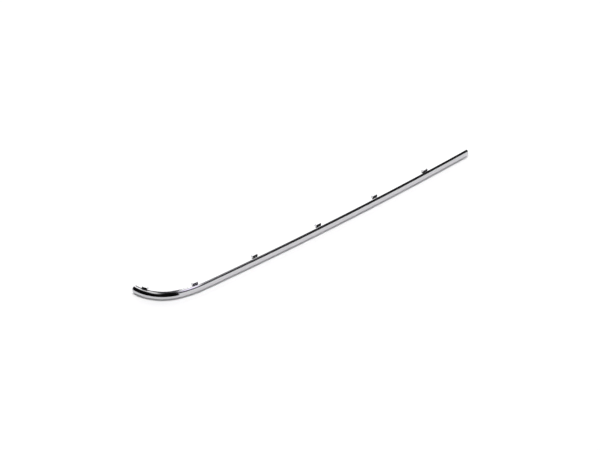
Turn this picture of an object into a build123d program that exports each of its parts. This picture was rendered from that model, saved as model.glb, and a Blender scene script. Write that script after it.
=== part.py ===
from build123d import *

import os
from math import atan2, cos, degrees, radians, sin

# Chrome trim strip for one half of a car's front bumper, moulded in one piece.
#
# Millimetres, +Z up. The long leg runs along X and the round face looks towards -Y. The strip starts
# at its joint end, at the middle of the bumper on the +X side, and bends round the corner towards +Y.
# It stands on its lower flange.
#
# A station is a distance along the route, measured from the joint end. Across the strip, "out" is
# measured from the route towards the round face, so what lies behind the route is negative.

# Section: a shoulder, a face and a shoulder, between an upper and a lower flange
HEIGHT = 17.0
BULGE = 7.5
FACE_RADIUS = 14.0
SHOULDER_RADIUS = 5.5
WALL = 2.2
UPPER_FLANGE = 3.0
LOWER_FLANGE = 3.0

# Route in plan, from the joint end
LEG_LENGTH = 790.0
LEG_BOW_RADIUS = 8700.0
EASE_LENGTH = 60.0
EASE_RADIUS = 210.0
CORNER_RADIUS = 82.0
CORNER_TURN = 70.5

# Far end: it is closed by a wall, and its outer edges are rounded
END_WALL = 2.5
END_ROUND = 1.2

# Tabs: a catch face that stands up at the flange's back edge, a flat land behind it and a ramp down
TAB_WIDTH = 13.5
TAB_DEPTH = 7.0
TAB_LAND = 5.0
TAB_RISE = 4.0
TAB_ROOT = 1.5
LEG_TAB_STATIONS = (131.5, 286.5, 456.0, 640.0)
JOINT_TAB_FORWARD = 2.5
EASE_TAB_PAST_LEG = 16.0
END_TAB_BACK = 25.0

RUNS = (
    (LEG_BOW_RADIUS, LEG_LENGTH),
    (EASE_RADIUS, EASE_LENGTH),
    (CORNER_RADIUS, CORNER_RADIUS * radians(CORNER_TURN)),
)
ROUTE_LENGTH = sum(length for _, length in RUNS)


def stretch(first, last):
    """The route between two stations: tangent arcs that all turn the same way, towards +Y."""
    point = Vector(0, 0, 0)
    heading = Vector(-1, 0, 0)
    edges = []
    done = 0.0
    for radius, length in RUNS:
        skipped = min(max(first - done, 0.0), length)
        kept = min(max(last - done, 0.0), length) - skipped
        if skipped > 0:
            lead = JernArc(point, heading, radius, -degrees(skipped / radius))
            point, heading = lead @ 1, lead % 1
        if kept > 0:
            arc = JernArc(point, heading, radius, -degrees(kept / radius))
            edges.append(arc)
            point, heading = arc @ 1, arc % 1
        done += length
        if done >= last:
            break
    return Wire(edges)


def plane_at(station):
    """The plane across the strip at a station: x is out, y is up, z is the way the route goes."""
    if station > 0:
        run_up = stretch(0, station)
        point, heading = run_up @ 1, run_up % 1
    else:
        point, heading = Vector(0, 0, 0), Vector(-1, 0, 0)
    return Plane(point, x_dir=heading.rotate(Axis.Z, 90), z_dir=heading)


def arc_point(centre, radius, slope):
    """The point of a section arc whose outward normal is at an angle, in degrees, above out."""
    return (
        centre[0] + radius * cos(radians(slope)),
        centre[1] + radius * sin(radians(slope)),
    )


def shoulder_out():
    """How far out the shoulders' centres lie, so that shoulders and face are tangent."""
    reach = FACE_RADIUS - SHOULDER_RADIUS
    rise = HEIGHT / 2 - SHOULDER_RADIUS
    return BULGE - FACE_RADIUS + (reach**2 - rise**2) ** 0.5


def round_face(inset):
    """The front of the section, from the upper flange down to the lower one, in three arcs."""
    face = FACE_RADIUS - inset
    shoulder = SHOULDER_RADIUS - inset
    upper = (shoulder_out(), HEIGHT - SHOULDER_RADIUS)
    lower = (shoulder_out(), SHOULDER_RADIUS)
    face_centre = (BULGE - FACE_RADIUS, HEIGHT / 2)
    meet = degrees(atan2(upper[1] - face_centre[1], upper[0] - face_centre[0]))
    upper_meet = arc_point(face_centre, face, meet)
    lower_meet = arc_point(face_centre, face, -meet)
    return [
        RadiusArc((upper[0], HEIGHT - inset), upper_meet, shoulder),
        RadiusArc(upper_meet, lower_meet, face),
        RadiusArc(lower_meet, (lower[0], inset), shoulder),
    ]


def filled_section():
    """The outside of the section, as if the strip were solid."""
    front = round_face(0)
    back = Polyline(
        front[-1] @ 1,
        (-LOWER_FLANGE, 0),
        (-UPPER_FLANGE, HEIGHT),
        front[0] @ 0,
    )
    return make_face([*front, back])


def channel_section():
    """The hollow behind the round face, which runs out at the back between the two flanges."""
    front = round_face(WALL)
    open_back = -2 * max(UPPER_FLANGE, LOWER_FLANGE)
    back = Polyline(
        front[-1] @ 1,
        (open_back, WALL),
        (open_back, HEIGHT - WALL),
        front[0] @ 0,
    )
    return make_face([*front, back])


def carried(section, first, last):
    """A section carried along the route between two stations."""
    return sweep(plane_at(first) * section, path=stretch(first, last))


def strip_body():
    """The hollow strip, open at the joint end and closed by a wall at the far end."""
    body = carried(filled_section(), 0, ROUTE_LENGTH)
    channel = carried(channel_section(), 0, ROUTE_LENGTH - END_WALL)
    return body - channel


def tab(station, forward):
    """A fixing tab: its catch face looks out over the upper flange, and a ramp falls behind its land."""
    catch = forward - UPPER_FLANGE
    root = catch + TAB_ROOT
    back = catch - TAB_DEPTH
    crest = HEIGHT + TAB_RISE
    outline = Polyline(
        (root, HEIGHT - WALL),
        (back, HEIGHT - WALL),
        (back, HEIGHT),
        (catch - TAB_LAND, crest),
        (catch, crest),
        (catch, HEIGHT),
        (root, HEIGHT),
        close=True,
    )
    return extrude(plane_at(station) * make_face(outline), TAB_WIDTH / 2, both=True)


def tab_places():
    """Station of each tab, and how far forward of the flange's back edge it stands.

    Four are on the leg, one as the bend begins and one near the far end. Only the one nearest the
    joint end stands forward.
    """
    corner_tabs = (LEG_LENGTH + EASE_TAB_PAST_LEG, ROUTE_LENGTH - END_TAB_BACK)
    stations = LEG_TAB_STATIONS + corner_tabs
    forwards = (JOINT_TAB_FORWARD,) + (0.0,) * (len(stations) - 1)
    return tuple(zip(stations, forwards))


def round_far_end(strip):
    """Round the far end's outer edge, where its flat face meets the round face and flanges."""
    end = plane_at(ROUTE_LENGTH)
    end_face = min(strip.faces(), key=lambda face: (face.center() - end.origin).length)
    back = end.from_local_coords(Vector(-UPPER_FLANGE, HEIGHT / 2, 0))
    edges = end_face.edges().sort_by_distance(back)[1:]
    return fillet(edges, END_ROUND)


def trim_strip():
    """The whole strip, set down on its lower flange with its box centred on the origin."""
    strip = round_far_end(strip_body())
    for station, forward in tab_places():
        strip = strip + tab(station, forward)
    box = strip.bounding_box()
    return Pos(-box.center().X, -box.center().Y, -box.min.Z) * strip


os.makedirs("parts", exist_ok=True)
export_step(trim_strip(), "parts/trim_strip.step")
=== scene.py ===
import math

import bpy
import numpy as np
from bpy.props import FloatProperty, FloatVectorProperty, PointerProperty
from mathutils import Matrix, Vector


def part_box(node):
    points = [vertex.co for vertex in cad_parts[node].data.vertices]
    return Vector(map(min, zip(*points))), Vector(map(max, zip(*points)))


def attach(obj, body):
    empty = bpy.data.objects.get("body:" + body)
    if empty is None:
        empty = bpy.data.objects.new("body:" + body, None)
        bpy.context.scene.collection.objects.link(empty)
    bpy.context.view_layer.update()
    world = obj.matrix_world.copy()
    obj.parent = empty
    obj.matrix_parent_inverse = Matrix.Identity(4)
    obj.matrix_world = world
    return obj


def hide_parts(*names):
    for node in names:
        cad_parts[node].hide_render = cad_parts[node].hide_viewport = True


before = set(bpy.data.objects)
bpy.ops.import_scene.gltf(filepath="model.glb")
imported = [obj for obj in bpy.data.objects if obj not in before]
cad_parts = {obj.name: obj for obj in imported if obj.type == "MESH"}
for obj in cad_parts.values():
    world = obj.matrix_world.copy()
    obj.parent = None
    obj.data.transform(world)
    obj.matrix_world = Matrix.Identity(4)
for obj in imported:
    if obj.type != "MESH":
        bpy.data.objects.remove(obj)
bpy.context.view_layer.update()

bl_info = {
    "name": "Bumper Chrome Trim",
    "version": (1, 0, 0),
    "blender": (4, 5, 0),
    "location": "3D View > Sidebar > Trim",
    "description": "Builds a chrome trim strip for a car's bumper, with its tabs and a studio around it",
    "category": "Object",
}

STRIP_NODE = "trim_strip"
BODY = "root"
MM = 0.001

# The attribute that holds each point's share of the dull colour: thin, dull plating in the strip's
# hollow, and painted shade on the tabs
DULL_AND_SHADE_MAP = "hollow"

# How finely the surfaces are divided
ROUND_STEPS = 91
FLAT_STEPS = 6
LIP_STEPS = 9
EDGE_STEPS = 6
LEG_SPACING = 4.0 * MM
EASE_SPACING = 1.5 * MM
CORNER_SPACING = 1.0 * MM
FLOOR_STEPS = 65
FLAG_STEPS = 120

# Extra rows beside an edge keep its shading crisp. Where the back closes, two rows almost touch.
CRISP = 0.05 * MM
BESIDE_WALL = 4.0 * CRISP
TOUCH = 0.2 * CRISP

# The power in the outline of a flange's lip: two would be round, and more is squarer
LIP_POWER = 4

# Patterns in the plating, by how many fit in a metre. A fade gives the two values of the noise between
# which a pattern comes in.
HAZE_PER_METRE = 24.0
HAZE_FADE = (0.42, 0.72)
WIPES_PER_METRE = (14.0, 160.0, 160.0)
WIPE_FADE = (0.45, 0.75)

# The wipes' share of the haze, how much a patch's tint shows, the brightness of that tint beside clear
# plating, and how many times their own depth the pits gain in the hollow
WIPE_SHARE = 0.35
TINT_SHARE = 0.5
TINT_BRIGHTNESS = 0.955
HOLLOW_PITS = 6.0

# The paper floor and the black cloth
FIBRES_PER_METRE = 9.0
FIBRE_TINT = 0.985
PAPER_ROUGHNESS = 0.9
THREADS_PER_METRE = 300.0
CLOTH_DARK = (0.004, 0.004, 0.004)
CLOTH_LIGHT = (0.012, 0.012, 0.012)
WHITE = (1.0, 1.0, 1.0)


def length(name, description, default):
    """A size in metres, shown in the unit that the scene uses."""
    return FloatProperty(
        name=name, description=description, default=default, min=0.0, precision=5,
        subtype="DISTANCE", unit="LENGTH",
    )


def share(name, description, default):
    """A number between nothing and all."""
    return FloatProperty(
        name=name, description=description, default=default, min=0.0, max=1.0, subtype="FACTOR",
    )


def level(name, description, default):
    """A strength of light, where one is a white surface in plain light."""
    return FloatProperty(name=name, description=description, default=default, min=0.0, soft_max=4.0)


def colour(name, description, default):
    """A colour without alpha."""
    return FloatVectorProperty(
        name=name, description=description, default=default, min=0.0, max=1.0, size=3, subtype="COLOR",
    )


class TrimStripSizes(bpy.types.PropertyGroup):
    """The strip's section and its route in plan."""

    height: length("Height", "From the lower flange's underside to the upper flange's top", 17.0 * MM)
    bulge: length("Bulge", "How far the round face stands out from the route", 7.5 * MM)
    face_radius: length("Face Radius", "Radius of the round face between its shoulders", 14.0 * MM)
    shoulder_radius: length("Shoulder Radius", "Radius between the face and a flange", 5.5 * MM)
    wall: length("Wall", "Thickness of the moulding", 2.2 * MM)
    flange: length("Flange", "How far the flanges reach behind the route", 3.0 * MM)
    leg_length: length("Leg Length", "Length of the long leg along the route", 790.0 * MM)
    leg_bow_radius: length("Leg Bow Radius", "Radius of the long leg's slight bow", 8700.0 * MM)
    ease_length: length("Ease Length", "Length of the stretch that eases into the corner", 60.0 * MM)
    ease_radius: length("Ease Radius", "Radius of the stretch that eases into the corner", 210.0 * MM)
    corner_radius: length("Corner Radius", "Radius of the corner", 82.0 * MM)
    corner_turn: FloatProperty(
        name="Corner Turn", description="How far the corner turns", default=math.radians(70.5),
        min=0.0, max=math.pi, subtype="ANGLE", unit="ROTATION",
    )
    end_wall: length("End Wall", "Thickness of the wall that closes the far end", 2.5 * MM)
    end_round: length("End Round", "Radius of the far end's outer edges", 1.2 * MM)
    joint_round: length("Joint Round", "Radius of the edges at the open joint end", 0.25 * MM)
    lip_round: length("Lip Round", "How far the flanges' back edges are rounded off", 0.4 * MM)


class TrimTabSizes(bpy.types.PropertyGroup):
    """The fixing tabs behind the upper flange. A station is a distance along the route from the joint."""

    width: length("Width", "Width of a tab along the strip", 13.5 * MM)
    depth: length("Depth", "From the catch face to the foot of the ramp", 7.0 * MM)
    land: length("Land", "Width of the flat crest behind the catch face", 5.0 * MM)
    rise: length("Rise", "Height of the catch face above the flange", 4.0 * MM)
    root: length("Root", "How far a tab runs into the flange", 1.5 * MM)
    sunk: length("Sunk", "How far the root lies under the flange's skin", 0.1 * MM)
    edge_round: length("Edge Round", "Radius of a tab's edges", 0.35 * MM)
    first: length("First", "Station of the tab nearest the joint end", 131.5 * MM)
    first_forward: length("First Forward", "How far forward that tab stands on the flange", 2.5 * MM)
    second: length("Second", "Station of the second tab", 286.5 * MM)
    third: length("Third", "Station of the third tab", 456.0 * MM)
    fourth: length("Fourth", "Station of the fourth tab", 640.0 * MM)
    past_leg: length("Past Leg", "How far past the leg the fifth tab lies", 16.0 * MM)
    end_back: length("End Back", "How far the last tab lies from the far end", 25.0 * MM)
    # Least share of painted shade on a tab, at its crest; it grows to all of it at the flange
    painted_shade_share: share("Dull Share", "Least share of thin, dull plating on a tab", 0.75)


class TrimBeadSizes(bpy.types.PropertyGroup):
    """The bead along the upper flange's back edge, round the bend."""

    width: length("Width", "Width of the bead", 1.0 * MM)
    rise: length("Rise", "Greatest height of the bead above the flange", 1.25 * MM)
    low_share: share("Low Share", "Share of its height that it has where it begins", 0.3)
    low_until: share("Low Until", "Share of its length that stays low", 0.35)
    high_from: share("High From", "Share of its length after which it has all its height", 0.75)
    inset: length("Inset", "How far the bead lies in from the flange's back edge", 0.8 * MM)
    sunk: length("Sunk", "How far the bead's foot lies under the flange's skin", 0.3 * MM)
    edge_round: length("Edge Round", "Radius of the bead's edges", 0.25 * MM)
    past_leg: length("Past Leg", "How far past the leg the bead begins", 36.0 * MM)
    end_back: length("End Back", "How far from the far end the bead stops", 1.5 * MM)


class TrimChromeLook(bpy.types.PropertyGroup):
    """The finish of the plating."""

    bright: colour("Bright", "Colour of the plating on the face", (0.550, 0.555, 0.566))
    # On the tabs this colour is painted shade; in the strip's hollow it is thin, dull plating
    dull_and_shade: colour("Dull", "Colour of the thinner plating in the hollow", (0.20, 0.20, 0.21))
    polish: share("Polish", "Roughness of the polished face", 0.025)
    haze: share("Haze", "Roughness added where the plating is hazy", 0.04)
    hollow_haze: share("Hollow Haze", "Roughness added in the hollow", 0.22)
    wave_size: length("Wave Size", "Size of the slow waves left by the mould", 22.0 * MM)
    wave_depth: length("Wave Depth", "Depth of those waves", 0.006 * MM)
    grain_size: length("Grain Size", "Size of the fine pits in the plating", 1.1 * MM)
    grain_depth: length("Grain Depth", "Depth of those pits", 0.0006 * MM)


class TrimStudioLook(bpy.types.PropertyGroup):
    """The floor, the soft light and the panels that the chrome mirrors."""

    floor_colour: colour("Floor", "Colour of the paper floor", (0.90, 0.90, 0.90))
    floor_lift: share("Floor Lift", "Light added to the floor to make it white", 0.10)
    floor_reach: length("Floor Reach", "Distance from the middle to the floor's edge", 16.0)
    sweep_rise: length("Sweep Rise", "Height to which the floor's edge sweeps up", 1.4)
    top_light: level("Top Light", "Level of the soft light from above", 0.76)
    back_panel: level("Back Panel", "Level of the panel beyond the strip", 1.95)
    right_panel: level("Right Panel", "Level of the long panel above and to the right", 1.6)
    left_panel: level("Left Panel", "Level of the long panel above and to the left", 1.0)
    corner_panel: level("Corner Panel", "Level of the soft panel on the right of the camera", 0.5)
    corner_tint: colour("Corner Tint", "Colour of the room's corner on the right", (0.90, 0.84, 1.0))
    side_glow: level("Side Glow", "Level of the wall on the right, near the floor", 0.2)


class Value:
    """A node's output that can be used in sums: each operator adds a Math node to the same tree."""

    def __init__(self, tree, socket=None):
        self.tree = tree
        self.socket = socket

    def node(self, kind, settings=None, output=0, **inputs):
        """Add any other node. Settings are set first, and then inputs.

        An input goes by its name, with _ for a space, or by its number after an i.
        """
        made = self.tree.nodes.new(kind)
        for name, value in (settings or {}).items():
            setattr(made, name, value)
        for name, value in inputs.items():
            key = int(name[1:]) if name[1:].isdigit() else name.replace("_", " ")
            self.feed(made.inputs[key], value)
        return Value(self.tree, made.outputs[output]) if made.outputs else self

    def feed(self, target, value):
        """Link a socket to a value, or set it to a number or a colour."""
        if isinstance(value, Value):
            self.tree.links.new(value.socket, target)
        else:
            target.default_value = value

    def maths(self, operation, *values):
        """A Math node of these values, in order."""
        inputs = {f"i{place}": value for place, value in enumerate(values)}
        return self.node("ShaderNodeMath", {"operation": operation}, **inputs)

    def __add__(self, other):
        return self.maths("ADD", self, other)

    def __radd__(self, other):
        return self.maths("ADD", other, self)

    def __sub__(self, other):
        return self.maths("SUBTRACT", self, other)

    def __rsub__(self, other):
        return self.maths("SUBTRACT", other, self)

    def __mul__(self, other):
        return self.maths("MULTIPLY", self, other)

    def __rmul__(self, other):
        return self.maths("MULTIPLY", other, self)

    def maximum(self, other):
        """The greater of two values."""
        return self.maths("MAXIMUM", self, other)

    def ramp(self, low, high, before=0.0, after=1.0):
        """One value below low, another above high, and a smooth step between them."""
        return self.node(
            "ShaderNodeMapRange", {"interpolation_type": "SMOOTHSTEP"},
            Value=self, From_Min=low, From_Max=high, To_Min=before, To_Max=after,
        )

    def along(self, direction):
        """How far a vector reaches in a direction."""
        return self.node(
            "ShaderNodeVectorMath", {"operation": "DOT_PRODUCT"}, output=1, i0=self, i1=direction
        )

    def blend(self, first, second):
        """A colour from the first to the second, by this value."""
        made = self.tree.nodes.new("ShaderNodeMix")
        made.data_type = "RGBA"
        self.feed(made.inputs["Factor"], self)
        self.feed(made.inputs["A"], self.opaque(first))
        self.feed(made.inputs["B"], self.opaque(second))
        colours = [socket for socket in made.outputs if socket.type == "RGBA"]
        return Value(self.tree, colours[0])

    @staticmethod
    def opaque(shade):
        """A colour as a socket wants it."""
        return shade if isinstance(shade, Value) else (*shade, 1.0)


def new_tree(owner):
    """An empty node tree on a material or a world, to start its values from."""
    owner.use_nodes = True
    owner.node_tree.nodes.clear()
    return Value(owner.node_tree)


def find_or_make(name, finish, *look):
    """A material by its name, filled with the nodes of a finish the first time it is asked for."""
    material = bpy.data.materials.get(name)
    if material is None:
        material = bpy.data.materials.new(name)
        finish(new_tree(material), *look)
    return material


def chrome_finish(start, look):
    """Bright plating: hazy in patches, slightly wavy from the mould, duller in the hollow, and darkened
    on the tabs by painted shade.
    """
    place = start.node("ShaderNodeTexCoord", output="Object")
    hollow = start.node("ShaderNodeAttribute", {"attribute_name": DULL_AND_SHADE_MAP}, output="Fac")

    patches = start.node(
        "ShaderNodeTexNoise", Vector=place, Scale=HAZE_PER_METRE, Detail=5.0, Roughness=0.6
    )
    cloud = patches.ramp(*HAZE_FADE)
    wipes = start.node("ShaderNodeMapping", Vector=place, Scale=WIPES_PER_METRE)
    streaks = start.node("ShaderNodeTexNoise", Vector=wipes, Scale=1.0, Detail=3.0, Roughness=0.5)
    wiped = streaks.ramp(*WIPE_FADE)
    hazy = (cloud * (1.0 - WIPE_SHARE) + wiped * WIPE_SHARE) * (1.0 - hollow) + hollow

    tint = [part * TINT_BRIGHTNESS for part in look.bright]
    face = (cloud * TINT_SHARE).blend(look.bright, tint)
    # The dull colour: thin plating in the strip's hollow, and painted shade on the tabs
    shade = hollow.blend(face, look.dull_and_shade)
    rough = look.polish + look.haze * hazy + look.hollow_haze * hollow

    wave = start.node(
        "ShaderNodeTexNoise", Vector=place, Scale=1.0 / look.wave_size, Detail=1.0, Roughness=0.4
    )
    pits = start.node(
        "ShaderNodeTexNoise", Vector=place, Scale=1.0 / look.grain_size, Detail=2.0, Roughness=0.6
    )
    depth = wave * look.wave_depth + pits * look.grain_depth * (1.0 + hollow * HOLLOW_PITS)
    normal = start.node("ShaderNodeBump", Height=depth, Strength=1.0, Distance=1.0)

    plating = start.node(
        "ShaderNodeBsdfPrincipled", Base_Color=shade, Metallic=1.0, Roughness=rough, Normal=normal
    )
    start.node("ShaderNodeOutputMaterial", Surface=plating)


def paper_finish(start, look):
    """White paper: plain diffuse, with a little light of its own as seen and as mirrored."""
    place = start.node("ShaderNodeTexCoord", output="Object")
    fibres = start.node(
        "ShaderNodeTexNoise", Vector=place, Scale=FIBRES_PER_METRE, Detail=4.0, Roughness=0.6
    )
    shade = fibres.blend([part * FIBRE_TINT for part in look.floor_colour], look.floor_colour)
    rays = {
        name: start.node("ShaderNodeLightPath", output=name)
        for name in ("Is Camera Ray", "Is Glossy Ray", "Is Transmission Ray")
    }
    seen = rays["Is Camera Ray"].maximum(rays["Is Glossy Ray"]).maximum(rays["Is Transmission Ray"])
    paper = start.node(
        "ShaderNodeBsdfPrincipled",
        Base_Color=shade, Roughness=PAPER_ROUGHNESS, Emission_Color=(*WHITE, 1.0),
        Emission_Strength=seen * look.floor_lift, Specular_IOR_Level=0.0,
    )
    start.node("ShaderNodeOutputMaterial", Surface=paper)


def cloth_finish(start):
    """Matt black cloth."""
    place = start.node("ShaderNodeTexCoord", output="Object")
    weave = start.node("ShaderNodeTexNoise", Vector=place, Scale=THREADS_PER_METRE, Detail=2.0)
    cloth = start.node("ShaderNodeBsdfDiffuse", Color=weave.blend(CLOTH_DARK, CLOTH_LIGHT))
    start.node("ShaderNodeOutputMaterial", Surface=cloth)


def as_mesh(name, points, faces, material):
    """An object with a smooth mesh of these points and faces, placed by its points alone."""
    mesh = bpy.data.meshes.new(name)
    mesh.from_pydata(points.tolist(), [], faces)
    mesh.polygons.foreach_set("use_smooth", np.ones(len(mesh.polygons), dtype=bool))
    mesh.materials.append(material)
    mesh.update()
    piece = bpy.data.objects.new(name, mesh)
    bpy.context.scene.collection.objects.link(piece)
    return piece


def grid_faces(rows, columns, wrapped):
    """The quads of a grid of points, numbered row by row.

    A wrapped grid joins its last column to its first.
    """
    row = np.arange(rows - 1)[:, None] * columns
    column = np.arange(columns if wrapped else columns - 1)[None, :]
    after = (column + 1) % columns
    quads = np.stack([row + column, row + after, row + columns + after, row + columns + column], axis=-1)
    return quads.reshape(-1, 4)


def route_start(sizes):
    """Where the route begins in plan: at the right of the node's box, and a bulge behind its front."""
    low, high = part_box(STRIP_NODE)
    return high.x, low.y + sizes.bulge


def curved_strip_route(sizes, station):
    """Place and turn on the route at each station.

    The route is three tangent arcs. Along an arc the heading turns by the distance over the radius.
    The place moves by the radius times the change in the sine and the cosine of that turn.
    """
    runs = (
        (sizes.leg_bow_radius, sizes.leg_length),
        (sizes.ease_radius, sizes.ease_length),
        (sizes.corner_radius, sizes.corner_radius * sizes.corner_turn),
    )
    start_x, start_y = route_start(sizes)
    x = np.full_like(station, start_x)
    y = np.full_like(station, start_y)
    turned = np.zeros_like(station)
    begin = 0.0
    for radius, run in runs:
        turn = np.clip(station - begin, 0.0, run) / radius
        x = x - radius * (np.sin(turned + turn) - np.sin(turned))
        y = y + radius * (np.cos(turned) - np.cos(turned + turn))
        turned = turned + turn
        begin += run
    return x, y, turned


def route_length(sizes):
    """Length of the whole route."""
    return sizes.leg_length + sizes.ease_length + sizes.corner_radius * sizes.corner_turn


def on_route(sizes, station, out, up, ahead=0.0):
    """Points beside the route: so far out from it, so high, and so far ahead along its tangent."""
    x, y, turned = curved_strip_route(sizes, station)
    out, up, ahead = np.broadcast_arrays(out, up, ahead)
    return np.stack(
        [
            x - out * np.sin(turned) - ahead * np.cos(turned),
            y - out * np.cos(turned) + ahead * np.sin(turned),
            up,
        ],
        axis=-1,
    )


def section_frame(sizes):
    """The centre, radius and slope of the section at each sample, from the lower flange to the upper one.

    A sample lies at its centre plus its radius in the direction of its slope, where the slope is the
    angle of the outward normal above level. The face's arc holds between the two slopes at which it
    meets the shoulders, and the shoulders' arcs hold beyond them. On a flange the slope stays upright
    and the centre moves.
    """
    reach = sizes.face_radius - sizes.shoulder_radius
    rise = sizes.height / 2 - sizes.shoulder_radius
    meet = math.asin(rise / reach)
    shoulder_out = sizes.bulge - sizes.face_radius + math.sqrt(reach**2 - rise**2)
    back = sizes.lip_round - sizes.flange
    flat = np.linspace(back + CRISP, shoulder_out - CRISP, FLAT_STEPS)
    flat = np.concatenate([[back], flat])
    arc = np.linspace(-math.pi / 2, math.pi / 2, ROUND_STEPS)
    slope = np.concatenate([np.full(flat.size, -math.pi / 2), arc, np.full(flat.size, math.pi / 2)])
    shoulder = np.abs(slope) > meet
    arc_out = np.where(np.abs(arc) > meet, shoulder_out, sizes.bulge - sizes.face_radius)
    centre_out = np.concatenate([flat, arc_out, flat[::-1]])
    centre_up = np.where(
        shoulder, sizes.height / 2 + np.sign(slope) * rise, sizes.height / 2
    )
    radius = np.where(shoulder, sizes.shoulder_radius, sizes.face_radius)
    return centre_out, centre_up, radius, slope


def section_curve(section, depth):
    """The section's curve, moved into the strip by a depth: its radii shrink by that much."""
    centre_out, centre_up, radius, slope = section
    out = centre_out + (radius - depth) * np.cos(slope)
    up = centre_up + (radius - depth) * np.sin(slope)
    return out, up


def strip_rows(sizes):
    """Station, depth of the edge rounding and closed or open back, for each row along the strip.

    The edges at both ends are quarter circles: the depth falls as one less the sine of an angle, and
    the station moves as one less its cosine. The back closes where the end wall begins, between two
    rows that almost touch.
    """
    total = route_length(sizes)
    corner_start = sizes.leg_length + sizes.ease_length
    wall_face = total - sizes.end_wall
    angle = np.linspace(0.0, math.pi / 2, EDGE_STEPS)
    counts = (
        max(int(sizes.leg_length / LEG_SPACING), 2),
        max(int(sizes.ease_length / EASE_SPACING), 2),
        max(int((total - corner_start) / CORNER_SPACING), 2),
    )
    joint_edge = sizes.joint_round * (1 - np.cos(angle))
    body = np.concatenate(
        [
            np.linspace(sizes.joint_round + CRISP, sizes.leg_length, counts[0], endpoint=False),
            np.linspace(sizes.leg_length, corner_start, counts[1], endpoint=False),
            np.linspace(corner_start, wall_face - BESIDE_WALL, counts[2]),
        ]
    )
    wall = wall_face + np.array([0.0, TOUCH, BESIDE_WALL])
    far_edge = total - sizes.end_round * (1 - np.cos(angle[::-1]))
    station = np.concatenate([[0.0], joint_edge, body, wall, far_edge, [total]])
    depth = np.concatenate(
        [
            [sizes.joint_round + CRISP],
            sizes.joint_round * (1 - np.sin(angle)),
            np.zeros(body.size + wall.size),
            sizes.end_round * (1 - np.sin(angle[::-1])),
            [sizes.end_round + CRISP],
        ]
    )
    return station, depth, station > wall_face


def strip_surface(sizes):
    """The strip's surface: a closed section carried along the route, with a cap at each end.

    Each row's section goes along the outer curve, round the upper lip, back along the hollow's curve
    and round the lower lip. Where the back is closed, a straight line stands in for the hollow's
    curve. A lip runs from one curve's end to the other's. The distance from its middle is raised to a
    power and taken from one, and the lip bulges back as the root of what is left. At the joint end the
    lips draw in with the rounding too, but the far end's back edge stays sharp.
    """
    station, depth, closed = (row[:, None] for row in strip_rows(sizes))
    section = section_frame(sizes)
    outer_out, outer_up = section_curve(section, depth)
    hollow_depth = np.where(closed, 0.0, depth)
    hollow_out, hollow_up = section_curve(section, sizes.wall - hollow_depth)
    count = section[0].size
    back_up = np.linspace(sizes.wall, sizes.height - sizes.wall, count)
    back_in = np.where(closed, np.maximum(depth - sizes.end_round, 0.0), depth)
    inner_out = np.where(closed, back_in - sizes.flange, hollow_out)
    inner_up = np.where(closed, back_up, hollow_up)

    part = (1 - np.cos(np.linspace(0, math.pi, LIP_STEPS + 2)[1:-1])) / 2
    bulge = (1 - np.abs(2 * part - 1) ** LIP_POWER) ** (1 / LIP_POWER)
    bulge = np.where(closed & (part > 0.5), 1.0, bulge)
    lip_out = sizes.lip_round * (1 - bulge) - sizes.flange + back_in * bulge
    top_up = outer_up[:, -1:] + part * (inner_up[:, -1:] - outer_up[:, -1:])
    low_up = outer_up[:, :1] + part * (inner_up[:, :1] - outer_up[:, :1])

    out = np.concatenate([outer_out, lip_out, inner_out[:, ::-1], lip_out[:, ::-1]], axis=1)
    up = np.concatenate([outer_up, top_up, inner_up[:, ::-1], low_up[:, ::-1]], axis=1)
    points = on_route(sizes, station + np.zeros_like(out), out, up).reshape(-1, 3)

    rows, columns = out.shape
    quads = grid_faces(rows, columns, wrapped=True)
    first_inner = count + LIP_STEPS
    outer = np.arange(count)
    inner = first_inner + count - 1 - outer
    cap = np.stack([outer[:-1], inner[:-1], inner[1:], outer[1:]], axis=-1)
    top_lip = np.arange(count - 1, first_inner + 1)
    low_lip = np.arange(first_inner + count - 1, columns + 1) % columns
    last = (rows - 1) * columns
    faces = quads.tolist() + cap.tolist() + (cap[:, ::-1] + last).tolist()
    for lip in (top_lip, low_lip):
        faces += [lip[::-1].tolist(), (lip + last).tolist()]

    inside = np.concatenate([np.zeros(count), part, np.ones(count), part[::-1]])
    inside = np.where(closed, 0.0, inside)
    return points, faces, inside.ravel()


def rounded_outline(corners, radius, steps):
    """A closed outline through straight sides, with each corner a parabola that touches both sides.

    A corner's curve starts and ends a radius away from it along its sides. Its points are the sum of
    start, corner and end, weighted by the squares and the double product of the share and its rest.
    """
    before = np.roll(corners, 1, axis=0) - corners
    after = np.roll(corners, -1, axis=0) - corners
    before = before / np.linalg.norm(before, axis=1, keepdims=True)
    after = after / np.linalg.norm(after, axis=1, keepdims=True)
    t = np.linspace(0.0, 1.0, steps)[None, :, None]
    start = (corners + before * radius)[:, None]
    end = (corners + after * radius)[:, None]
    curve = (1 - t) ** 2 * start + 2 * t * (1 - t) * corners[:, None] + t**2 * end
    lead_in = start + before[:, None] * CRISP
    lead_out = end + after[:, None] * CRISP
    return np.concatenate([lead_in, curve, lead_out], axis=1).reshape(-1, 2)


def bar_rows(first, last, edge_round, steps):
    """Place and inset of each row of a bar with rounded ends, from its last place to its first.

    The edges at both ends are quarter circles: the inset falls as one less the sine of an angle, while
    the place moves as one less its cosine.
    """
    angle = np.linspace(0.0, math.pi / 2, EDGE_STEPS)
    edge = edge_round * (1 - np.cos(angle))
    inset = edge_round * (1 - np.sin(angle))
    cap_inset = edge_round + CRISP
    middle = np.linspace(last - cap_inset, first + cap_inset, steps)
    place = np.concatenate([[last], last - edge, middle, first + edge[::-1], [first]])
    inset = np.concatenate([[cap_inset], inset, np.zeros(steps), inset[::-1], [cap_inset]])
    return place[:, None], inset[:, None]


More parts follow.
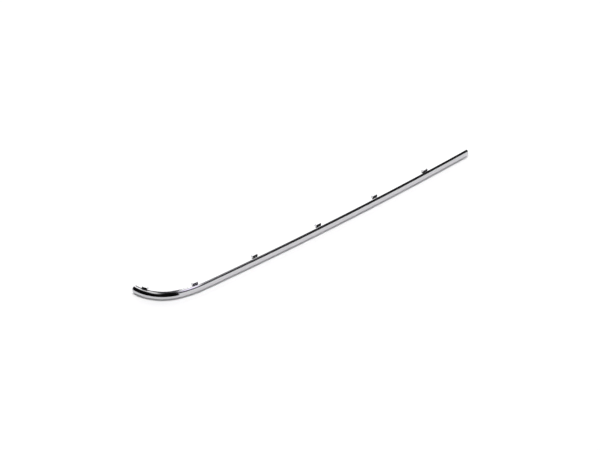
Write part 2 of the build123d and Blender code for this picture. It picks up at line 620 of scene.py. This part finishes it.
def inset_outline(outline, inset):
    """A closed outline on each row, moved inwards along its own normals by the row's inset."""
    tangent = np.roll(outline, -1, axis=0) - np.roll(outline, 1, axis=0)
    tangent = tangent / np.linalg.norm(tangent, axis=1, keepdims=True)
    out = outline[:, 0] - inset * tangent[:, 1]
    up = outline[:, 1] + inset * tangent[:, 0]
    return out, up


def bar_faces(rows, columns):
    """The faces of a bar: its sides, and a cap at each end."""
    ring = np.arange(columns)
    faces = grid_faces(rows, columns, wrapped=True)[:, ::-1].tolist()
    return faces + [ring.tolist(), (ring[::-1] + (rows - 1) * columns).tolist()]


def tab_surface(sizes, tab, station, forward):
    """A tab's surface: a rounded outline carried straight across the tab's width, along the strip."""
    catch = forward - sizes.flange
    root = catch + tab.root
    back = catch - tab.depth
    low = sizes.height - sizes.wall + tab.sunk
    high = sizes.height - tab.sunk
    crest = sizes.height + tab.rise
    corners = np.array(
        [
            (root, low),
            (root, high),
            (catch, high),
            (catch, crest),
            (catch - tab.land, crest),
            (back, high),
            (back, low),
        ]
    )
    outline = rounded_outline(corners, tab.edge_round, EDGE_STEPS)
    across, inset = bar_rows(-tab.width / 2, tab.width / 2, tab.edge_round, steps=2)
    out, up = inset_outline(outline, inset)
    points = on_route(sizes, np.full(out.shape, station), out, up, across).reshape(-1, 3)
    return points, bar_faces(*out.shape)


def bead_surface(sizes, bead):
    """The bead's surface: a rounded rectangle carried along the route round the bend.

    Its height grows along it as a smooth step: three times the square of the share of the way, less
    twice its cube, where the way runs from the end of the low stretch to the start of the high one.
    """
    back = bead.inset - sizes.flange
    low = sizes.height - bead.sunk
    crest = sizes.height + bead.rise
    front = back + bead.width
    corners = np.array([(front, low), (front, crest), (back, crest), (back, low)])
    outline = rounded_outline(corners, bead.edge_round, EDGE_STEPS)
    first = sizes.leg_length + bead.past_leg
    last = route_length(sizes) - bead.end_back
    steps = int((last - first) / CORNER_SPACING)
    station, inset = bar_rows(first, last, bead.edge_round, steps)
    out, up = inset_outline(outline, inset)
    along = (station - first) / (last - first)
    way = np.clip((along - bead.low_until) / (bead.high_from - bead.low_until), 0.0, 1.0)
    height_share = bead.low_share + (1 - bead.low_share) * way**2 * (3 - 2 * way)
    up = low + (up - low) * height_share
    points = on_route(sizes, station + np.zeros_like(out), out, up).reshape(-1, 3)
    return points, bar_faces(*out.shape)


def tab_places(sizes, tab):
    """Station of each tab from the joint end, and how far forward of the flange's edge it stands."""
    return (
        (tab.first, tab.first_forward),
        (tab.second, 0.0),
        (tab.third, 0.0),
        (tab.fourth, 0.0),
        (sizes.leg_length + tab.past_leg, 0.0),
        (route_length(sizes) - tab.end_back, 0.0),
    )


def chrome_piece(scene, name, points, faces, dull_and_shade):
    """A finished piece of chrome, with the share of the dull colour stored at each point: thin plating in
    the strip's hollow, painted shade on a tab.

    It rides on the strip's body, stands for its node and takes the chrome slot.
    """
    chrome = find_or_make("chrome", chrome_finish, scene.trim_chrome_look)
    piece = as_mesh(name, points, faces, chrome)
    attribute = piece.data.attributes.new(DULL_AND_SHADE_MAP, "FLOAT", "POINT")
    attribute.data.foreach_set("value", dull_and_shade.astype(np.float32))
    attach(piece, BODY)
    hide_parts(STRIP_NODE)


class TRIM_OT_strip(bpy.types.Operator):
    """Build the strip: its round face, flanges, hollow and closed end"""

    bl_idname = "bumper_trim.strip"
    bl_label = "Strip"
    bl_options = {"REGISTER", "UNDO"}

    def execute(self, context):
        scene = context.scene
        points, faces, inside = strip_surface(scene.trim_strip_sizes)
        chrome_piece(scene, "strip", points, faces, inside)
        return {"FINISHED"}


class TRIM_OT_bead(bpy.types.Operator):
    """Build the bead along the upper flange's back edge, round the bend"""

    bl_idname = "bumper_trim.bead"
    bl_label = "Bead"
    bl_options = {"REGISTER", "UNDO"}

    def execute(self, context):
        scene = context.scene
        points, faces = bead_surface(scene.trim_strip_sizes, scene.trim_bead_sizes)
        chrome_piece(scene, "bend_bead", points, faces, np.zeros(len(points)))
        return {"FINISHED"}


class TRIM_OT_tabs(bpy.types.Operator):
    """Build the six fixing tabs behind the upper flange"""

    bl_idname = "bumper_trim.tabs"
    bl_label = "Tabs"
    bl_options = {"REGISTER", "UNDO"}

    def execute(self, context):
        scene = context.scene
        sizes = scene.trim_strip_sizes
        tab = scene.trim_tab_sizes
        for number, (station, forward) in enumerate(tab_places(sizes, tab), start=1):
            points, faces = tab_surface(sizes, tab, station, forward)
            # Painted shade: share of the way down from the tab's crest to the flange, so that a tab is
            # darkened all over and most at the flange
            down = np.clip((tab.rise + sizes.height - points[:, 2]) / tab.rise, 0.0, 1.0)
            dull_and_shade = tab.painted_shade_share + (1.0 - tab.painted_shade_share) * down
            chrome_piece(scene, f"tab_{number}", points, faces, dull_and_shade)
        return {"FINISHED"}


# The view: the camera looks at the leg from its left, from above. Its lens and sensor are in millimetres.
VIEW_AZIMUTH = math.radians(-45.35)
VIEW_ELEVATION = math.radians(33.0)
VIEW_DISTANCE = 9.0
VIEW_LENS = 247.7
VIEW_SENSOR = 36.0
VIEW_NEAR = 0.1
VIEW_FAR = 100.0
VIEW_BACK_FROM_JOINT = 473.1 * MM
VIEW_BEHIND_ROUTE = 54.9 * MM
VIEW_HEIGHT = 8.0 * MM

# Flags: the tall one stands beyond the bend. How far right and away it is counts from the point that
# the camera looks at. The low one follows the bend.
FLAG_RIGHT = -290.5 * MM
FLAG_AWAY = -10.0 * MM
FLAG_WIDTH = 53.5 * MM
FLAG_LOW = 80.0 * MM
FLAG_HIGH = 235.0 * MM
LOW_FLAG_PAST_LEG = 51.0 * MM
LOW_FLAG_SLOPE = 18.0 * MM
LOW_FLAG_PAST_END = 90.0 * MM
LOW_FLAG_OUT = 30.5 * MM
LOW_FLAG_HEIGHT = 60.0 * MM

AWAY = Vector((-math.sin(VIEW_AZIMUTH), math.cos(VIEW_AZIMUTH), 0.0))
RIGHT = Vector((math.cos(VIEW_AZIMUTH), math.sin(VIEW_AZIMUTH), 0.0))
UP = Vector((0.0, 0.0, 1.0))

# The floor is level up to this share of its reach, and sweeps up beyond it
LEVEL_SHARE = 0.85

# The lamp overhead: how wide it looks from the floor, and how high it hangs
LAMP_SPREAD = math.radians(40.0)
LAMP_HEIGHT = 3.0

# The room that the chrome mirrors, by direction. A patch of light is the product of smooth steps. Each
# step gives the direction it runs along, where it begins and ends, and its value before and after.
DARK_LEVEL = 0.006
RISES = (0.0, 1.0)
FALLS = (1.0, 0.0)
UPPER_RIGHT = 0.863 * RIGHT + 0.430 * AWAY + 0.262 * UP
FAR_RIGHT = 0.78 * RIGHT + 0.615 * AWAY + 0.107 * UP
BEND_NEAR = 0.934 * RIGHT + 0.358 * AWAY
BEND_FAR = 0.783 * RIGHT + 0.623 * AWAY
BEND_PATCH = (
    (BEND_NEAR, 0.25, 0.38, RISES),
    (BEND_FAR, 0.44, 0.51, FALLS),
)
ROOM_PATCHES = {
    "back_panel": ((AWAY, 0.68, 0.82, RISES),),
    "right_panel": (
        (UPPER_RIGHT, 0.50, 0.62, RISES),
        (FAR_RIGHT, 0.543, 0.633, FALLS),
        (UP, 0.62, 0.86, RISES),
        (AWAY, -0.55, 0.1, RISES),
    ),
    "left_panel": (
        (RIGHT, -0.36, -0.24, RISES),
        (RIGHT, -0.13, -0.04, FALLS),
        (UP, 0.5, 0.7, RISES),
        (AWAY, -0.45, -0.1, RISES),
    ),
    "side_glow": (
        (RIGHT, 0.35, 0.95, RISES),
        (UP, -0.1, 0.55, (1.0, 0.2)),
    ),
    "corner_panel": (
        *BEND_PATCH,
        (AWAY, 0.40, 0.60, FALLS),
        (UP, 0.5, 0.95, (0.06, 0.96)),
    ),
}


def room_patch(ray, steps):
    """A patch of the room, from nothing to one: the product of its smooth steps."""
    product = 1.0
    for direction, low, high, values in steps:
        product = product * ray.along(direction).ramp(low, high, *values)
    return product


def view_target(sizes):
    """The point behind the route that the camera looks at."""
    start_x, start_y = route_start(sizes)
    return Vector((start_x - VIEW_BACK_FROM_JOINT, start_y + VIEW_BEHIND_ROUTE, VIEW_HEIGHT))


class TRIM_OT_stage(bpy.types.Operator):
    """Lay the floor, hang the lamp and the flags, paint the room and set up the camera"""

    bl_idname = "bumper_trim.stage"
    bl_label = "Stage"
    bl_options = {"REGISTER", "UNDO"}

    def execute(self, context):
        look = context.scene.trim_studio_look
        self.lay_floor(look)
        self.hang_light(look)
        self.hang_flags(context.scene.trim_strip_sizes)
        self.paint_room(context.scene, look)
        self.set_camera(context.scene)
        return {"FINISHED"}

    def lay_floor(self, look):
        """A level sheet whose height sweeps up near its edge, as a smooth step of the distance."""
        side = np.linspace(-look.floor_reach, look.floor_reach, FLOOR_STEPS)
        x, y = np.meshgrid(side, side)
        far = np.hypot(x, y) / look.floor_reach
        far = np.clip((far - LEVEL_SHARE) / (1.0 - LEVEL_SHARE), 0.0, 1.0)
        z = look.sweep_rise * far**2 * (3 - 2 * far)
        points = np.stack([x, y, z], axis=-1).reshape(-1, 3)
        faces = grid_faces(side.size, side.size, wrapped=False).tolist()
        floor = as_mesh("floor", points, faces, find_or_make("paper_floor", paper_finish, look))

    def hang_light(self, look):
        """A broad soft light straight above, which the chrome doesn't mirror."""
        lamp = bpy.data.lights.new("top_light", "SUN")
        lamp.energy = math.pi * look.top_light
        lamp.angle = LAMP_SPREAD
        light = bpy.data.objects.new("top_light", lamp)
        light.location = (0.0, 0.0, LAMP_HEIGHT)
        light.visible_glossy = False
        bpy.context.scene.collection.objects.link(light)

    def hang_flags(self, sizes):
        """Black flags that only the chrome mirrors: a tall one beyond the bend, a low one round it.

        The low one's top slopes down to the floor at the end near the leg.
        """
        bend = view_target(sizes) + RIGHT * FLAG_RIGHT + AWAY * FLAG_AWAY
        side, height = np.meshgrid(np.array([-0.5, 0.5]), np.array([FLAG_LOW, FLAG_HIGH]))
        points = (
            np.array(bend)
            + side[..., None] * FLAG_WIDTH * np.array(RIGHT)
            + height[..., None] * np.array(UP)
        )
        self.hang("tall_flag", points)
        first = sizes.leg_length + LOW_FLAG_PAST_LEG
        total = route_length(sizes)
        along = np.linspace(first, total + LOW_FLAG_PAST_END, FLAG_STEPS)
        station, up = np.meshgrid(along, np.array([0.0, LOW_FLAG_HEIGHT]))
        up = up * np.clip((station - first) / LOW_FLAG_SLOPE, 0.0, 1.0)
        points = on_route(sizes, station, LOW_FLAG_OUT, up, np.maximum(station - total, 0.0))
        self.hang("low_flag", points)

    def hang(self, name, points):
        """One flag, from a grid of points."""
        faces = grid_faces(points.shape[0], points.shape[1], wrapped=False).tolist()
        flag = as_mesh(name, points.reshape(-1, 3), faces, find_or_make("black_flag", cloth_finish))
        flag.visible_camera = False
        flag.visible_diffuse = False
        flag.visible_shadow = False

    def paint_room(self, scene, look):
        """The room by direction: dark, but for its panels and a glow low down, and tinted at the bend."""
        world = bpy.data.worlds.new("studio")
        scene.world = world
        start = new_tree(world)
        ray = start.node("ShaderNodeTexCoord", output="Generated")
        light = DARK_LEVEL
        for name, steps in ROOM_PATCHES.items():
            light = light + room_patch(ray, steps) * getattr(look, name)
        tint = room_patch(ray, BEND_PATCH).blend(WHITE, look.corner_tint)
        room = start.node("ShaderNodeBackground", Color=tint, Strength=light)
        start.node("ShaderNodeOutputWorld", Surface=room)

    def set_camera(self, scene):
        """A long lens, as far off and as high as in the photograph."""
        target = view_target(scene.trim_strip_sizes)
        back = UP * math.sin(VIEW_ELEVATION) - AWAY * math.cos(VIEW_ELEVATION)
        lens = bpy.data.cameras.new("camera")
        lens.sensor_width = VIEW_SENSOR
        lens.lens = VIEW_LENS
        lens.clip_start = VIEW_NEAR
        lens.clip_end = VIEW_FAR
        camera = bpy.data.objects.new("camera", lens)
        camera.location = target + back * VIEW_DISTANCE
        camera.rotation_mode = "QUATERNION"
        camera.rotation_quaternion = (-back).to_track_quat("-Z", "Y")
        scene.collection.objects.link(camera)
        scene.camera = camera
        scene.view_settings.view_transform = "Standard"


class TRIM_PT_panel(bpy.types.Panel):
    """The steps and sizes of the trim in the 3D view's sidebar"""

    bl_idname = "TRIM_PT_panel"
    bl_label = "Bumper Chrome Trim"
    bl_space_type = "VIEW_3D"
    bl_region_type = "UI"
    bl_category = "Trim"

    def draw(self, context):
        layout = self.layout
        for operator, group in STEPS:
            layout.operator(operator.bl_idname)
            sizes = getattr(context.scene, group)
            column = layout.column(align=True)
            for name in type(sizes).__annotations__:
                column.prop(sizes, name)
        layout.label(text="Chrome")
        look = context.scene.trim_chrome_look
        column = layout.column(align=True)
        for name in TrimChromeLook.__annotations__:
            column.prop(look, name)


STEPS = (
    (TRIM_OT_stage, "trim_studio_look"),
    (TRIM_OT_strip, "trim_strip_sizes"),
    (TRIM_OT_bead, "trim_bead_sizes"),
    (TRIM_OT_tabs, "trim_tab_sizes"),
)
GROUPS = {
    "trim_strip_sizes": TrimStripSizes,
    "trim_bead_sizes": TrimBeadSizes,
    "trim_tab_sizes": TrimTabSizes,
    "trim_chrome_look": TrimChromeLook,
    "trim_studio_look": TrimStudioLook,
}
CLASSES = (*GROUPS.values(), *(operator for operator, group in STEPS), TRIM_PT_panel)


def register():
    """Register the classes and hang the property groups on the scene."""
    for made in CLASSES:
        bpy.utils.register_class(made)
    for name, group in GROUPS.items():
        setattr(bpy.types.Scene, name, PointerProperty(type=group))


def unregister():
    """Take the property groups off the scene and unregister the classes."""
    for name in GROUPS:
        delattr(bpy.types.Scene, name)
    for made in reversed(CLASSES):
        bpy.utils.unregister_class(made)


def main():
    """Build everything in order."""
    register()
    bpy.ops.bumper_trim.stage()
    bpy.ops.bumper_trim.strip()
    bpy.ops.bumper_trim.bead()
    bpy.ops.bumper_trim.tabs()


if __name__ == "__main__":
    main()
